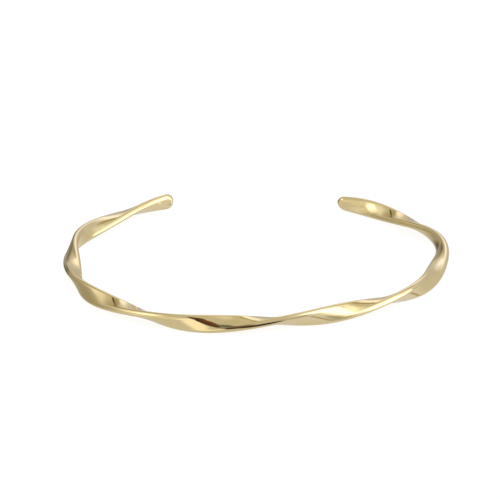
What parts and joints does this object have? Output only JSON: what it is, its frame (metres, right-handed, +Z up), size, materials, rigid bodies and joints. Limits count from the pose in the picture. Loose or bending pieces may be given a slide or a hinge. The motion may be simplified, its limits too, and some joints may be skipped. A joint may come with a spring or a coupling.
{
  "type": "twisted open bangle",
  "caption": "Open oval bangle made of a flat metal strip with round edges, twisted along its length, with rounded tips either side of the gap at the back.",
  "frame": {"origin": "centre of the bangle's plan box, on the surface that it lies on", "axes": "+X across the widest part of the oval, +Y towards the gap at the back, +Z up out of the plane of the oval"},
  "size_m": [0.0626, 0.0486, 0.0028],
  "materials": {
    "polished_gold": "mirror polished, pale yellow gold plating"
  },
  "bodies": {
    "root": {"cuff": "polished_gold"}
  },
  "joints": []
}
